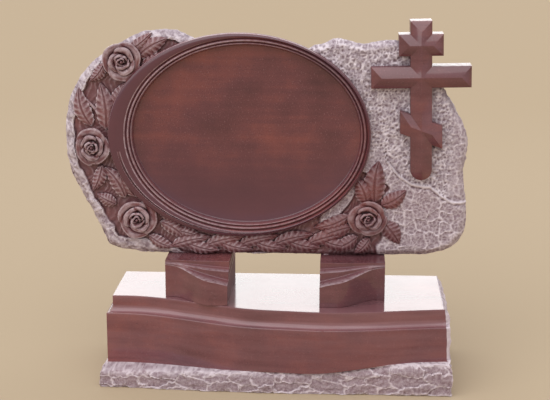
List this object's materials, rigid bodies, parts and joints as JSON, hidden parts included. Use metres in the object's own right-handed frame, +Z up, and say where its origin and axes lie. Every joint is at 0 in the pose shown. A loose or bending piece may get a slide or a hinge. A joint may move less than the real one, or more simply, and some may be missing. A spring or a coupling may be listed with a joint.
{
  "type": "orthodox cross memorial headstone",
  "caption": "Wide granite headstone with an oval panel, carved roses and leaves and a three-bar cross, on two ogee blocks and a wavy-fronted base.",
  "frame": {"origin": "centre of the base's flat underside", "axes": "+Z up, +X along the width to the viewer's right, front face towards -Y"},
  "size_m": [1.1867, 0.4143, 1.0596],
  "materials": {
    "polished_granite": "polished red granite, rough-pitched where it was split",
    "carved_granite": "carved red granite, polished on the panel, frame and cross, pale where it is left rough"
  },
  "bodies": {
    "root": {"base": "polished_granite", "left_support": "polished_granite", "right_support": "polished_granite", "stele": "carved_granite"}
  },
  "joints": []
}
